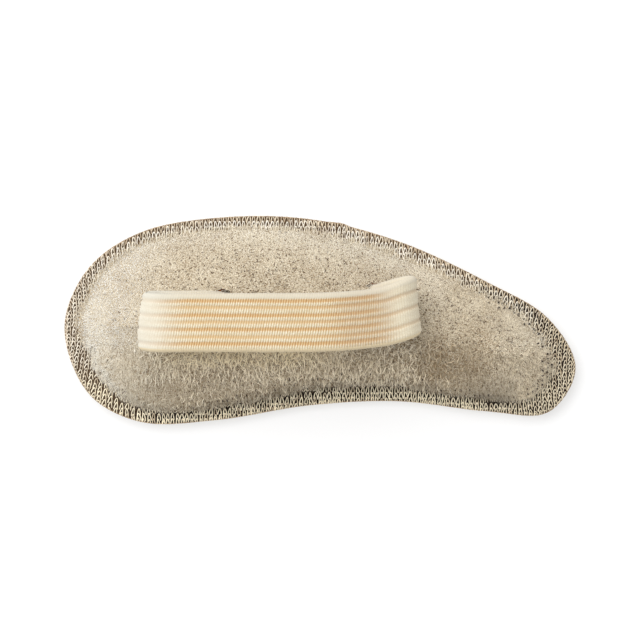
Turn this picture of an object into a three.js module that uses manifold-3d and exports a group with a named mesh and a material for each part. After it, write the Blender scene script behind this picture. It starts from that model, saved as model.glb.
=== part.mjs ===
// Toe crest pad: a brushed knit cushion that is worn under the toes, with an elastic loop for one toe.
// Millimetres, +Z up. The origin is on the underside, at the middle of the pad's length and width.
import * as THREE from "three";
import { mergeVertices } from "three/addons/utils/BufferGeometryUtils.js";
import Module from "manifold-3d";

// Layers, from the underside upwards
const baseWall = 1.0;
const coverWall = 1.0;
const gap = 0.3; // between neighbouring pieces
const coreGap = 0.5; // between the padding and the cover's wall
const rimFloor = baseWall + gap;
const rimTop = rimFloor + coverWall;

// Elastic of the toe loop
const elasticWidth = 9.8;
const elasticThickness = 1.3;
const selvedge = 0.4; // how far the elastic's rounded long edges are cut back

// The pad from its left tip to its right tip.
// back and front: y of the two long edges; rim: width of the flat border.
// crown: height of the dome over that border.
const stations = [
  { x: -42.5, back: -1.1, front: -1.1, rim: 3.1, crown: 5.5 },
  { x: -38.5, back: 8.6, front: -12.2, rim: 2.9, crown: 6.8 },
  { x: -30.0, back: 14.5, front: -16.9, rim: 2.6, crown: 9.0 },
  { x: -17.0, back: 17.0, front: -16.6, rim: 2.5, crown: 10.4 },
  { x: -2.0, back: 16.8, front: -14.2, rim: 2.5, crown: 10.6 },
  { x: 13.0, back: 13.1, front: -13.5, rim: 2.6, crown: 9.6 },
  { x: 28.0, back: 6.2, front: -15.2, rim: 2.9, crown: 7.4 },
  { x: 38.0, back: 0.2, front: -15.3, rim: 3.6, crown: 5.4 },
  { x: 42.5, back: -8.1, front: -8.1, rim: 4.2, crown: 4.0 },
];
const lastStation = stations.length - 1;

// The dome's ridge runs down the middle of the pad between these two places, counted in stations.
const ridgeFrom = 2.2;
const ridgeTo = 6.1;

// The dome's rise from the rim to the ridge.
// fullness rounds the top, and steepness sets how fast the dome leaves the rim.
const fullness = 2.2;
const steepness = 0.88;

// Middle of the elastic, from the tail under the cover on the left, round to the tail on the right.
// swing: degrees that the elastic's width is turned from straight across the pad.
const loopRoute = [
  { at: "left tail end", x: -8.5, y: 0.0, z: 9.6, swing: 0 },
  { at: "left tail", x: -12.5, y: 0.0, z: 9.7, swing: 0 },
  { at: "left slit", x: -15.4, y: 0.0, z: 11.6, swing: 0 },
  { at: "left slit mouth", x: -18.0, y: 0.0, z: 13.5, swing: 0 },
  { at: "left underside", x: -23.0, y: 0.0, z: 13.4, swing: 1 },
  { at: "left fold below", x: -26.9, y: 0.0, z: 13.6, swing: 1 },
  { at: "left fold", x: -28.8, y: -0.2, z: 15.5, swing: 1 },
  { at: "left fold above", x: -26.7, y: -0.4, z: 17.6, swing: 1 },
  { at: "left top", x: -19.6, y: -0.4, z: 18.6, swing: 0 },
  { at: "middle top", x: -8.0, y: -0.3, z: 19.2, swing: 0 },
  { at: "right top", x: 3.0, y: -0.1, z: 19.1, swing: 2 },
  { at: "right fold above", x: 11.2, y: 0.9, z: 18.0, swing: 8 },
  { at: "right fold", x: 15.3, y: 2.4, z: 15.5, swing: 9 },
  { at: "right fold below", x: 13.4, y: 2.2, z: 13.5, swing: 10 },
  { at: "right slit mouth", x: 10.4, y: 1.3, z: 13.2, swing: 8 },
  { at: "right slit", x: 8.0, y: 0.8, z: 11.3, swing: 3 },
  { at: "right tail", x: 5.0, y: 0.4, z: 9.4, swing: 0 },
  { at: "right tail end", x: 1.0, y: 0.4, z: 9.5, swing: 0 },
];

// How finely the faces are cut
const aroundHalf = 40; // steps along one long edge, tip to tip
const domeSteps = 9;
const stepsPerRoutePoint = 4;
const weldDistance = 1e-4; // points nearer than this are one point

// Colours and finishes
const knit = new THREE.MeshStandardMaterial({ color: 0xcfc4aa, roughness: 0.97, metalness: 0 });
const backing = new THREE.MeshStandardMaterial({ color: 0xbcae92, roughness: 0.95, metalness: 0 });
const foam = new THREE.MeshStandardMaterial({ color: 0xe6dfcc, roughness: 0.98, metalness: 0 });
const elastic = new THREE.MeshStandardMaterial({ color: 0xe9d7b2, roughness: 0.85, metalness: 0 });

const wasm = await Module();
wasm.setup();

// The pad's outline as one closed curve: along the back edge to the right tip, then home by the front edge.
const innerStations = stations.slice(1, -1);
const outline = new THREE.CatmullRomCurve3(
  [
    ...stations.map((s) => new THREE.Vector3(s.x, s.back, 0)),
    ...innerStations.toReversed().map((s) => new THREE.Vector3(s.x, s.front, 0)),
  ],
  true,
);
// The rim's width and the dome's height between stations
const rimAndCrown = new THREE.CatmullRomCurve3(stations.map((s) => new THREE.Vector3(s.rim, s.crown, 0)));

function ridgePoint(station) {
  const share = station / lastStation / 2;
  return outline.getPoint(share).lerp(outline.getPoint(1 - share), 0.5);
}

// One spoke of the pad, from a point of its outline to the place on the ridge that it rises to.
function spoke(step) {
  const along = step <= aroundHalf ? step / aroundHalf : 2 - step / aroundHalf;
  const edge = outline.getPoint(step / aroundHalf / 2);
  const ridgeStation = THREE.MathUtils.lerp(ridgeFrom, ridgeTo, along);
  const ridge = ridgePoint(ridgeStation);
  const rim = rimAndCrown.getPoint(along).x;
  const crown = rimAndCrown.getPoint(ridgeStation / lastStation).y;
  return { edge, ridge, reach: edge.distanceTo(ridge), rim, crown };
}
const spokes = Array.from({ length: 2 * aroundHalf }, (_, step) => spoke(step));

// A flat ring that lies a set distance inside the outline.
function flatRing(inset, z) {
  return spokes.map(({ edge, ridge, reach, rim }) => edge.clone().lerp(ridge, inset(rim) / reach).setZ(z));
}

// The rings of a dome, from the ridge down to its foot.
function domeRings(inset, foot, lowered) {
  return Array.from({ length: domeSteps + 1 }, (_, ring) => {
    const inward = 1 - ring / domeSteps;
    const risen = (1 - (1 - inward) ** fullness) ** steepness;
    return spokes.map(({ edge, ridge, reach, rim, crown }) => {
      const start = inset(rim) / reach;
      const place = edge.clone().lerp(ridge, start + (1 - start) * inward);
      return place.setZ(foot + (crown - lowered) * risen);
    });
  });
}

// The ridge at one height, as a ring that is folded flat on itself.
function foldedRing(z) {
  return spokes.map(({ ridge }) => ridge.clone().setZ(z));
}

// A closed surface over rings of equally many points, each turning anticlockwise as seen from the next ring.
// An end ring is either folded flat on itself or filled by a fan.
function loft(rings, fillEnds = false) {
  const size = rings[0].length;
  const positions = [];
  const triangle = (...corners) => corners.forEach(({ x, y, z }) => positions.push(x, y, z));
  for (let ring = 0; ring + 1 < rings.length; ring++) {
    for (let i = 0; i < size; i++) {
      const next = (i + 1) % size;
      triangle(rings[ring][i], rings[ring + 1][next], rings[ring + 1][i]);
      triangle(rings[ring][i], rings[ring][next], rings[ring + 1][next]);
    }
  }
  if (fillEnds) {
    const first = rings[0];
    const last = rings.at(-1);
    for (let i = 1; i + 1 < size; i++) {
      triangle(first[0], first[i + 1], first[i]);
      triangle(last[0], last[i], last[i + 1]);
    }
  }
  const geometry = new THREE.BufferGeometry();
  geometry.setAttribute("position", new THREE.Float32BufferAttribute(positions, 3));
  return mergeVertices(geometry, weldDistance);
}

function solidOf(geometry) {
  const mesh = new wasm.Mesh({
    numProp: 3,
    vertProperties: geometry.attributes.position.array,
    triVerts: new Uint32Array(geometry.index.array),
  });
  return new wasm.Manifold(mesh);
}

function geometryOf(solid) {
  const { vertProperties, triVerts } = solid.getMesh();
  const geometry = new THREE.BufferGeometry();
  geometry.setAttribute("position", new THREE.BufferAttribute(vertProperties, 3));
  geometry.setIndex(new THREE.BufferAttribute(triVerts, 1));
  return geometry;
}

// The elastic's route
const loopLine = new THREE.CatmullRomCurve3(loopRoute.map((p) => new THREE.Vector3(p.x, p.y, p.z)));
const loopSwing = new THREE.CatmullRomCurve3(loopRoute.map((p) => new THREE.Vector3(p.swing, 0, 0)));
const routeIndex = (place) => loopRoute.findIndex((p) => p.at === place);

// The elastic between two places on its route, or the room for it with a clearance all round.
function band(from, to, clearance = 0) {
  const halfWidth = elasticWidth / 2 + clearance;
  const halfThick = elasticThickness / 2 + clearance;
  const flat = halfWidth - selvedge;
  const section = [
    [flat, halfThick],
    [-flat, halfThick],
    [-halfWidth, 0],
    [-flat, -halfThick],
    [flat, -halfThick],
    [halfWidth, 0],
  ];
  const steps = (to - from) * stepsPerRoutePoint;
  const rings = Array.from({ length: steps + 1 }, (_, step) => {
    const share = (from + step / stepsPerRoutePoint) / (loopRoute.length - 1);
    const middle = loopLine.getPoint(share);
    const ahead = loopLine.getTangent(share);
    if (step === 0) middle.addScaledVector(ahead, -clearance);
    if (step === steps) middle.addScaledVector(ahead, clearance);
    const swing = THREE.MathUtils.degToRad(loopSwing.getPoint(share).x);
    const across = new THREE.Vector3(-Math.sin(swing), Math.cos(swing), 0);
    across.addScaledVector(ahead, -across.dot(ahead)).normalize();
    const up = new THREE.Vector3().crossVectors(ahead, across);
    return section.map(([w, t]) => middle.clone().addScaledVector(across, w).addScaledVector(up, t));
  });
  return loft(rings, true);
}

function makeBaseCover() {
  const shape = new THREE.Shape(spokes.map(({ edge }) => new THREE.Vector2(edge.x, edge.y)));
  return new THREE.ExtrudeGeometry(shape, { depth: baseWall, bevelEnabled: false });
}

// Room for the elastic where it comes through a slit and its tail lies under the cover.
function tailRoom() {
  const left = band(routeIndex("left tail end"), routeIndex("left underside"), gap);
  const right = band(routeIndex("right fold below"), routeIndex("right tail end"), gap);
  return solidOf(left).add(solidOf(right));
}

function makeTopCover(room) {
  const atRim = (rim) => rim;
  const insideWall = (rim) => rim + coverWall;
  const rings = [
    ...domeRings(atRim, rimTop, 0),
    flatRing(() => 0, rimTop),
    flatRing(() => 0, rimFloor),
    ...domeRings(insideWall, rimFloor, 0).toReversed(),
  ];
  return geometryOf(solidOf(loft(rings)).subtract(room));
}

function makePadding(room) {
  const inside = (rim) => rim + coverWall + coreGap;
  const rings = [...domeRings(inside, rimFloor, coreGap), foldedRing(rimFloor)];
  return geometryOf(solidOf(loft(rings)).subtract(room));
}

function makeToeLoop() {
  return band(0, loopRoute.length - 1);
}

function named(name, geometry, material) {
  const mesh = new THREE.Mesh(geometry, material);
  mesh.name = name;
  return mesh;
}

const room = tailRoom();
const toeCrest = new THREE.Group();
toeCrest.add(
  named("base_cover", makeBaseCover(), backing),
  named("padding", makePadding(room), foam),
  named("top_cover", makeTopCover(room), knit),
  named("toe_loop", makeToeLoop(), elastic),
);

export default toeCrest;
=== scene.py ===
# Toe crest pad: a brushed knit cushion with a pressed rim, and a ribbed elastic loop for one toe.
import math
from types import SimpleNamespace

import bmesh
import bpy
import numpy as np
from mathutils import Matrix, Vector, kdtree, noise


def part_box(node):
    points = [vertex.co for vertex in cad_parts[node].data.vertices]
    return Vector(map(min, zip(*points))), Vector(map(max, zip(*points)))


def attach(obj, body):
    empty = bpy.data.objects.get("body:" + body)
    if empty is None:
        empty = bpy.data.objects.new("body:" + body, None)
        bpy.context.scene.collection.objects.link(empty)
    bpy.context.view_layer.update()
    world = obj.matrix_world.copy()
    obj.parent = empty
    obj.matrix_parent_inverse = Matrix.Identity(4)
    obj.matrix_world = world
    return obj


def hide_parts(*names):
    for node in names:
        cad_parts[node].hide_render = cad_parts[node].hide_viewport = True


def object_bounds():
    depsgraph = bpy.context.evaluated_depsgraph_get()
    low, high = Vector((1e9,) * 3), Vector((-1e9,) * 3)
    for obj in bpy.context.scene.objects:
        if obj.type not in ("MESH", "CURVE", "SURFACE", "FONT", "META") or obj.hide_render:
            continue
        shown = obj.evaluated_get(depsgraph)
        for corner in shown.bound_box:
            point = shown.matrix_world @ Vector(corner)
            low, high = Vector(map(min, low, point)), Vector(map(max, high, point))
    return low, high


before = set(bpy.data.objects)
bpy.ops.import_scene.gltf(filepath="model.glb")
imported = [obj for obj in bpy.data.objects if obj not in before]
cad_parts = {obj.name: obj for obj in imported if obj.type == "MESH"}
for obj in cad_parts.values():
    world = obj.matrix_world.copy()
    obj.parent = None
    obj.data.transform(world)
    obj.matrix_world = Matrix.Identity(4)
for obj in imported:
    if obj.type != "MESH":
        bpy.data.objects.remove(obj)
cadLow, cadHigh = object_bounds()
mm = 0.001
fullTurn = 2 * math.pi
print("frame loaded")


# Small helpers

def tint(red, green, blue):
    # a colour as seen on screen, turned into the linear one that shaders take
    shares = [c / 255 for c in (red, green, blue)]
    linear = [c / 12.92 if c <= 0.04045 else ((c + 0.055) / 1.055) ** 2.4 for c in shares]
    return (*linear, 1.0)


def fadeIn(low, high, value):
    t = np.clip((value - low) / (high - low), 0, 1)
    return t * t * (3 - 2 * t)


def addPiece(name, points, faces=(), edges=()):
    mesh = bpy.data.meshes.new(name)
    mesh.from_pydata([tuple(p) for p in points], list(edges), list(faces))
    mesh.update()
    piece = bpy.data.objects.new(name, mesh)
    bpy.context.scene.collection.objects.link(piece)
    return piece


def addLine(name, points):
    return addPiece(name, points, edges=[(i, i + 1) for i in range(len(points) - 1)])


def dropPiece(piece):
    mesh = piece.data
    bpy.data.objects.remove(piece)
    bpy.data.meshes.remove(mesh)


def setValues(piece, name, values, domain="POINT"):
    values = np.asarray(values, np.float32)
    vector = values.ndim == 2
    layer = piece.data.attributes.new(name, "FLOAT_VECTOR" if vector else "FLOAT", domain)
    layer.data.foreach_set("vector" if vector else "value", values.ravel())


def valuesOf(piece, name):
    values = np.zeros(len(piece.data.vertices), np.float32)
    piece.data.attributes[name].data.foreach_get("value", values)
    return values


def pointsOf(piece):
    points = np.zeros(len(piece.data.vertices) * 3, np.float32)
    piece.data.vertices.foreach_get("co", points)
    return points.reshape(-1, 3).astype(float)


def movePoints(piece, points):
    piece.data.vertices.foreach_set("co", points.astype(np.float32).ravel())
    piece.data.update()


def facesOf(piece):
    return [tuple(p.vertices) for p in piece.data.polygons]


def bandFaces(rows, count):
    # faces between closed rows of equally many points
    faces = []
    for here in range(0, (rows - 1) * count, count):
        there = here + count
        for s in range(count):
            n = (s + 1) % count
            faces.append((here + s, here + n, there + n, there + s))
    return faces


def tubeFaces(rows, count):
    last = (rows - 1) * count
    return bandFaces(rows, count) + [tuple(range(count))[::-1], tuple(range(last, last + count))]


def makePlain(piece, smooth=True):
    # the modifiers' result becomes the piece's own mesh
    graph = bpy.context.evaluated_depsgraph_get()
    made = bpy.data.meshes.new_from_object(
        piece.evaluated_get(graph), preserve_all_data_layers=True, depsgraph=graph)
    piece.modifiers.clear()
    old = piece.data
    piece.data = made
    bpy.data.meshes.remove(old)
    made.name = piece.name
    if smooth:
        made.shade_smooth()
    return piece


def throughPoints(points, u, closed=False):
    # centripetal curve through the points, u from 0 to 1 at even steps of the points
    points = np.asarray(points, float)
    count = len(points)
    if closed:
        place = np.mod(np.asarray(u, float), 1) * count
        start = np.floor(place).astype(int)
        at = lambda i: points[np.mod(i, count)]
    else:
        place = np.clip(np.asarray(u, float), 0, 1) * (count - 1)
        start = np.minimum(np.floor(place).astype(int), count - 2)
        padded = np.vstack([2 * points[0] - points[1], points, 2 * points[-1] - points[-2]])
        at = lambda i: padded[np.clip(i + 1, 0, count + 1)]
    t = (place - start)[:, None]
    p0, p1, p2, p3 = at(start - 1), at(start), at(start + 1), at(start + 2)
    step = lambda a, b: np.maximum(np.sqrt(np.linalg.norm(b - a, axis=1)), 1e-9)[:, None]
    d0, d1, d2 = step(p0, p1), step(p1, p2), step(p2, p3)
    m1 = ((p1 - p0) / d0 - (p2 - p0) / (d0 + d1) + (p2 - p1) / d1) * d1
    m2 = ((p2 - p1) / d1 - (p3 - p1) / (d1 + d2) + (p3 - p2) / d2) * d1
    return p1 + m1 * t + (3 * (p2 - p1) - 2 * m1 - m2) * t ** 2 + (2 * (p1 - p2) + m1 + m2) * t ** 3


# Node helpers, for shapes and for materials

class wire:
    # what a node puts out; plain arithmetic on it adds Math nodes to the same tree
    def __init__(self, socket):
        self.socket = socket
        self.tree = socket.id_data

    __add__ = lambda self, other: maths("ADD", self, other)
    __radd__ = lambda self, other: maths("ADD", other, self)
    __sub__ = lambda self, other: maths("SUBTRACT", self, other)
    __rsub__ = lambda self, other: maths("SUBTRACT", other, self)
    __mul__ = lambda self, other: maths("MULTIPLY", self, other)
    __rmul__ = lambda self, other: maths("MULTIPLY", other, self)
    __truediv__ = lambda self, other: maths("DIVIDE", self, other)
    __rtruediv__ = lambda self, other: maths("DIVIDE", other, self)


def feed(socket, value):
    if isinstance(value, wire):
        value.tree.links.new(value.socket, socket)
    else:
        socket.default_value = value


def feedAll(tree, kind, values, operation=None):
    # a node whose first inputs take the values in order
    node = tree.nodes.new(kind)
    if operation:
        node.operation = operation
    for socket, value in zip(node.inputs, values):
        feed(socket, value)
    return wire(node.outputs[0])


def treeOf(values):
    return next(v.tree for v in values if isinstance(v, wire))


def maths(operation, *values):
    return feedAll(treeOf(values), "ShaderNodeMath", values, operation)


def highest(first, second):
    return maths("MAXIMUM", first, second)


def vectors(operation, *values):
    return feedAll(treeOf(values), "ShaderNodeVectorMath", values, operation)


def joined(*values):
    return feedAll(treeOf(values), "ShaderNodeCombineXYZ", values)


def titled(name):
    return "".join(" " + c if c.isupper() else c for c in name).title()


def putNode(tree, kind, options=None, **values):
    node = tree.nodes.new(kind)
    for option, value in (options or {}).items():
        setattr(node, option, value)
    for name, value in values.items():
        feed(next(s for s in node.inputs if s.name.title() == titled(name) and s.enabled), value)
    return node


def out(node, name):
    return wire(node.outputs[name])


def put(tree, kind, options=None, **values):
    return out(putNode(tree, kind, options, **values), 0)


def scaled(vector, factor):
    return put(vector.tree, "ShaderNodeVectorMath", {"operation": "SCALE"}, vector=vector, scale=factor)


def blendColours(share, first, second):
    node = putNode(share.tree, "ShaderNodeMix", {"data_type": "RGBA"}, a=first, b=second)
    feed(node.inputs[0], share)
    return wire(node.outputs[2])


def fade(value, fromLow, fromHigh, toLow=0.0, toHigh=1.0):
    node = putNode(value.tree, "ShaderNodeMapRange", {"interpolation_type": "SMOOTHSTEP"})
    for socket, number in zip(node.inputs, (value, fromLow, fromHigh, toLow, toHigh)):
        feed(socket, number)
    return out(node, 0)


def noiseAt(place, size, detail, name=0):
    return out(putNode(place.tree, "ShaderNodeTexNoise", vector=place, scale=1 / size, detail=detail), name)


def spotOf(place):
    # a place in mm, and how far it is from the pad's middle along and across
    node = putNode(place.tree, "ShaderNodeSeparateXYZ", vector=scaled(place, 1 / mm))
    spot = {axis: out(node, axis.upper()) for axis in "xyz"}
    spot["offX"] = maths("ABSOLUTE", spot["x"])
    spot["offY"] = maths("ABSOLUTE", spot["y"])
    return spot


def areasOf(spot, areas):
    # each area is a product of fades: what it reads, from, to, and the shares at the two if not 0 and 1
    product = lambda fades: math.prod(fade(spot[read], *ends) for read, *ends in fades)
    return {name: product(fades) for name, fades in areas.items()}


def newTree(name, kind, inputs):
    tree = bpy.data.node_groups.new(name, kind)
    for label, socket in inputs.items():
        tree.interface.new_socket(name=titled(label), in_out="INPUT", socket_type="NodeSocket" + socket)
    start = tree.nodes.new("NodeGroupInput")
    return tree, SimpleNamespace(**{label: out(start, titled(label)) for label in inputs})


def newShapeTree(name, objects, numbers="", wholeNumbers=""):
    inputs = {"geometry": "Geometry"}
    kinds = {"Object": objects, "Float": numbers, "Int": wholeNumbers, "Material": "material"}
    for socket, labels in kinds.items():
        inputs.update({label: socket for label in labels.split()})
    tree, given = newTree(name, "GeometryNodeTree", inputs)
    tree.interface.new_socket(name="Geometry", in_out="OUTPUT", socket_type="NodeSocketGeometry")
    return tree, given


def endTree(geometry, material, smooth):
    tree = geometry.tree
    solid = put(tree, "GeometryNodeRealizeInstances", geometry=geometry)
    shaded = put(tree, "GeometryNodeSetShadeSmooth", geometry=solid, shadeSmooth=smooth)
    done = put(tree, "GeometryNodeSetMaterial", geometry=shaded, material=material)
    feed(tree.nodes.new("NodeGroupOutput").inputs[0], done)
    return tree


def runTree(piece, tree, **values):
    modifier = piece.modifiers.new(tree.name, "NODES")
    modifier.node_group = tree
    sockets = {item.name: item.identifier for item in tree.interface.items_tree if item.in_out == "INPUT"}
    for name, value in values.items():
        modifier[sockets[titled(name)]] = value
    return makePlain(piece, smooth=False)


def named(tree, name, kind="FLOAT"):
    return put(tree, "GeometryNodeInputNamedAttribute", {"data_type": kind}, name=name)


def namedVector(tree, name):
    return named(tree, name, "FLOAT_VECTOR")


def randomValue(low, high, seed):
    kind = "FLOAT_VECTOR" if isinstance(low, tuple) else "FLOAT"
    node = putNode(seed.tree, "FunctionNodeRandomValue", {"data_type": kind}, min=low, max=high, seed=seed)
    return wire(next(s for s in node.outputs if s.enabled))


def keep(geometry, name, value, kind="FLOAT", domain="POINT"):
    return put(geometry.tree, "GeometryNodeStoreNamedAttribute", {"data_type": kind, "domain": domain},
               geometry=geometry, name=name, value=value)


def moved(geometry, **values):
    return put(geometry.tree, "GeometryNodeSetPosition", geometry=geometry, **values)


def without(points, gone):
    return put(points.tree, "GeometryNodeDeleteGeometry", {"domain": "POINT"}, geometry=points,
               selection=gone)


def shapeOf(piece):
    return out(putNode(piece.tree, "GeometryNodeObjectInfo", object=piece), "Geometry")


def placedOn(points, instance, rotation, scale):
    return put(points.tree, "GeometryNodeInstanceOnPoints", points=points, instance=instance,
               rotation=rotation, scale=scale)


# Shader group that the cloths share

def makeYarnTone():
    # colour that drifts over the cloth and is flecked at the size of single fibres
    tree, given = newTree("yarnTone", "ShaderNodeTree", {
        "coordinate": "Vector", "pale": "Color", "deep": "Color", "fleckSize": "Float", "driftSize": "Float",
        "drift": "Float"})
    for label, socket in (("Colour", "Color"), ("Height", "Float")):
        tree.interface.new_socket(name=label, in_out="OUTPUT", socket_type="NodeSocket" + socket)
    usual = (0.3, 0.7)   # between which most of a noise lies
    fine = fade(noiseAt(given.coordinate, given.fleckSize, 2.0), *usual)
    wide = fade(noiseAt(given.coordinate, given.driftSize, 3.0), *usual, -0.5, 0.5)
    share = maths("MINIMUM", highest(fine + wide * given.drift, 0.0), 1.0)
    end = tree.nodes.new("NodeGroupOutput").inputs
    feed(end["Colour"], blendColours(share, given.deep, given.pale))
    feed(end["Height"], fine)
    return tree


yarnTone = makeYarnTone()


def newMaterial(name, roughness, sheen=0.0):
    material = bpy.data.materials.new(name)
    material.use_nodes = True
    tree = material.node_tree
    shader = tree.nodes["Principled BSDF"].inputs
    shader["Roughness"].default_value = roughness
    shader["Specular IOR Level"].default_value = 0.2
    shader["Sheen Weight"].default_value = sheen
    shader["Sheen Roughness"].default_value = 0.6
    return material, tree, shader, out(tree.nodes.new("ShaderNodeTexCoord"), "Object")


def clothTone(pale, deep, fleckSize, driftSize, drift):
    # two colours that a cloth varies between, the mm of its flecks and of its drift, and how far it drifts
    return {"pale": tint(*pale), "deep": tint(*deep), "drift": drift,
            "fleckSize": fleckSize * mm, "driftSize": driftSize * mm}


def useYarnTone(place, tone):
    node = putNode(place.tree, "ShaderNodeGroup", {"node_tree": yarnTone}, coordinate=place, **tone)
    return out(node, "Colour"), out(node, "Height")


def layered(colour, layers, colours):
    # one colour over the other, each by its own share
    for name, share in layers.items():
        colour = blendColours(share, colour, colours[name])
    return colour


def addBump(shader, height, depth):
    bump = put(height.tree, "ShaderNodeBump", strength=1.0, distance=depth * mm, height=height)
    feed(shader["Normal"], bump)


def valueOn(tree, name):
    return out(putNode(tree, "ShaderNodeAttribute", {"attribute_name": name}), "Fac")


# Pad: outline from the frame, dome from a few heights along the pad

padShape = {
    "rimRise": 1.3,                                            # from the under layer to the border's top
    "rim": [3.1, 2.9, 2.6, 2.5, 2.5, 2.6, 2.9, 3.6, 4.2],      # width of the border, left tip to right tip
    "crown": [5.5, 6.8, 9.0, 10.4, 10.6, 9.6, 7.4, 5.4, 4.0],  # height of the dome over the border
    "ridgeFrom": 0.275, "ridgeTo": 0.7625,                     # where the ridge starts and ends
    "fullness": 2.2, "steepness": 0.88,                        # how round it is, how fast it leaves the rim
    "softLeft": 0.35, "softRight": 0.5, "softOver": 22.0,      # how gently it leaves the rim at the two tips
    "softFoot": -0.12,
    "wall": 1.0, "spokes": 240, "domeRings": 22,
    "rimRings": [0.0, 0.06, 0.2, 0.4, 0.6, 0.8, 0.94],         # shares of the border's width
    "lump": 0.12, "lumpSize": 9.0,                             # soft unevenness of the stuffed dome
    "lipFrom": 0.5, "lipFull": 3.8, "lipTo": 4.3, "lip": 0.3,  # small lip where the back edge was cut twice
}

baseLow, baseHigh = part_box("base_cover")
coverLow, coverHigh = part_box("top_cover")
rimTop = baseHigh.z + padShape["rimRise"] * mm


def outlinePoints():
    corners = {(round(v.co.x, 7), round(v.co.y, 7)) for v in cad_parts["base_cover"].data.vertices
               if v.co.z < baseLow.z + 0.01 * mm}
    points = np.array(sorted(corners))
    middle = points.mean(0)
    turn = -np.arctan2(points[:, 1] - middle[1], points[:, 0] - middle[0])
    tip = turn[np.argmin(points[:, 0])]
    return points[np.argsort(np.mod(turn - tip + 1e-6, fullTurn))]   # from the left tip along the back edge


outline = outlinePoints()


def onOutline(u):
    return throughPoints(outline, u, closed=True)


def makeSpokes():
    shape = padShape
    u = np.arange(shape["spokes"]) / shape["spokes"]
    along = np.where(u <= 0.5, 2 * u, 2 - 2 * u)
    station = shape["ridgeFrom"] + (shape["ridgeTo"] - shape["ridgeFrom"]) * along
    sizes = np.stack([shape["rim"], shape["crown"]], 1) * mm
    edge = onOutline(u)
    ridge = (onOutline(station / 2) + onOutline(1 - station / 2)) / 2
    x = edge[:, 0] / mm
    lip = fadeIn(shape["lipFrom"], shape["lipFull"], x) * (x < shape["lipTo"]) * (u < 0.5)
    edge[:, 1] += lip * shape["lip"] * mm
    tip, soft = baseHigh.x, (baseHigh.x - shape["softOver"] * mm)
    return {"edge": edge, "ridge": ridge, "reach": np.linalg.norm(edge - ridge, axis=1),
            "rim": throughPoints(sizes, along)[:, 0], "crown": throughPoints(sizes, station)[:, 1],
            "soft": shape["softLeft"] * fadeIn(-soft, -tip, edge[:, 0])
            + shape["softRight"] * fadeIn(soft, tip, edge[:, 0])}


spokes = makeSpokes()


def domeRise(t):
    full = (1 - (1 - t) ** padShape["fullness"]) ** padShape["steepness"]
    return full + (fadeIn(padShape["softFoot"], 1.0, t) - full) * spokes["soft"]


def ringPoints(inset, z):
    share = (inset / spokes["reach"])[:, None]
    plan = spokes["edge"] * (1 - share) + spokes["ridge"] * share
    return np.column_stack([plan, np.broadcast_to(z, len(plan))])


def domeSkin(foot, inset, height):
    # points of a dome from its foot to the ridge, where opposite spokes share a point
    return [ringPoints(inset + (spokes["reach"] - inset) * t, foot + height * domeRise(t))
            for t in np.linspace(0, 1, padShape["domeRings"] + 1)]


def skinMesh(name, rows):
    # rows of equally many points, from the edge inwards, the last one folded on itself along the ridge
    count = len(rows[0])
    half = count // 2
    points = np.vstack([*rows[:-1], rows[-1][:half + 1]])
    last = len(rows) - 1
    index = lambda r, s: r * count + s if r < last else last * count + (s if s <= half else count - s)
    faces = []
    for r in range(last):
        for s in range(count):
            n = (s + 1) % count
            faces.append((index(r, s), index(r + 1, s), index(r + 1, n), index(r, n)))
    return addPiece(name, points, faces)


# Camera: straight down on the pad, as far off as a close-up of this size is taken from

cameraView = {"height": 0.70, "sensor": 36, "frameWidth": 0.10646}   # frameWidth is at the rim's height

camera = bpy.data.objects.new("camera", bpy.data.cameras.new("camera"))
camera.data.sensor_width = cameraView["sensor"]
camera.data.lens = cameraView["sensor"] * (cameraView["height"] - rimTop) / cameraView["frameWidth"]
camera.location = (0, 0, cameraView["height"])
camera.data.clip_start = 0.01
camera.data.clip_end = 20
bpy.context.scene.collection.objects.link(camera)
bpy.context.scene.camera = camera
print("camera set")


# Cover skin: the drawn dome, settled as cloth under light pressure, which moves it very little

coverShape = {
    "startHeight": 0.93, "frames": 22, "cap": 1.2,   # cap: mm that a point may move
    "workScale": 10.0,                               # cloth works best on larger pieces
    "cloth": {"quality": 8, "mass": 0.4, "tension_stiffness": 30, "compression_stiffness": 30,
              "shear_stiffness": 15, "bending_stiffness": 2, "air_damping": 3, "vertex_group_mass": "held",
              "use_pressure": True, "uniform_pressure_force": 5.0},
    "heldRings": (0, 2), "lumpRings": (1, 6), "ridgeInset": 10.0,
}


def inflate(skin, held):
    shape = coverShape
    start = pointsOf(skin)
    trial = addPiece("coverTrial", start * shape["workScale"], facesOf(skin))
    group = trial.vertex_groups.new(name="held")
    for i in range(len(start)):
        group.add([i], float(held[i]), "REPLACE")
    cloth = trial.modifiers.new("cloth", "CLOTH")
    for name, value in shape["cloth"].items():
        setattr(cloth.settings, name, value)
    cloth.settings.effector_weights.gravity = 0
    cloth.point_cache.frame_start = 1
    cloth.point_cache.frame_end = shape["frames"]
    for number in range(1, shape["frames"] + 1):
        bpy.context.scene.frame_set(number)
    made = trial.evaluated_get(bpy.context.evaluated_depsgraph_get())
    change = np.array([v.co for v in made.data.vertices]) / shape["workScale"] - start
    bpy.context.scene.frame_set(1)
    dropPiece(trial)
    length = np.linalg.norm(change, axis=1, keepdims=True)
    change *= np.minimum(1, shape["cap"] * mm / np.maximum(length, 1e-9))
    print("cover inflated by up to %.2f mm" % (length.max() / mm))
    return start + change


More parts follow.
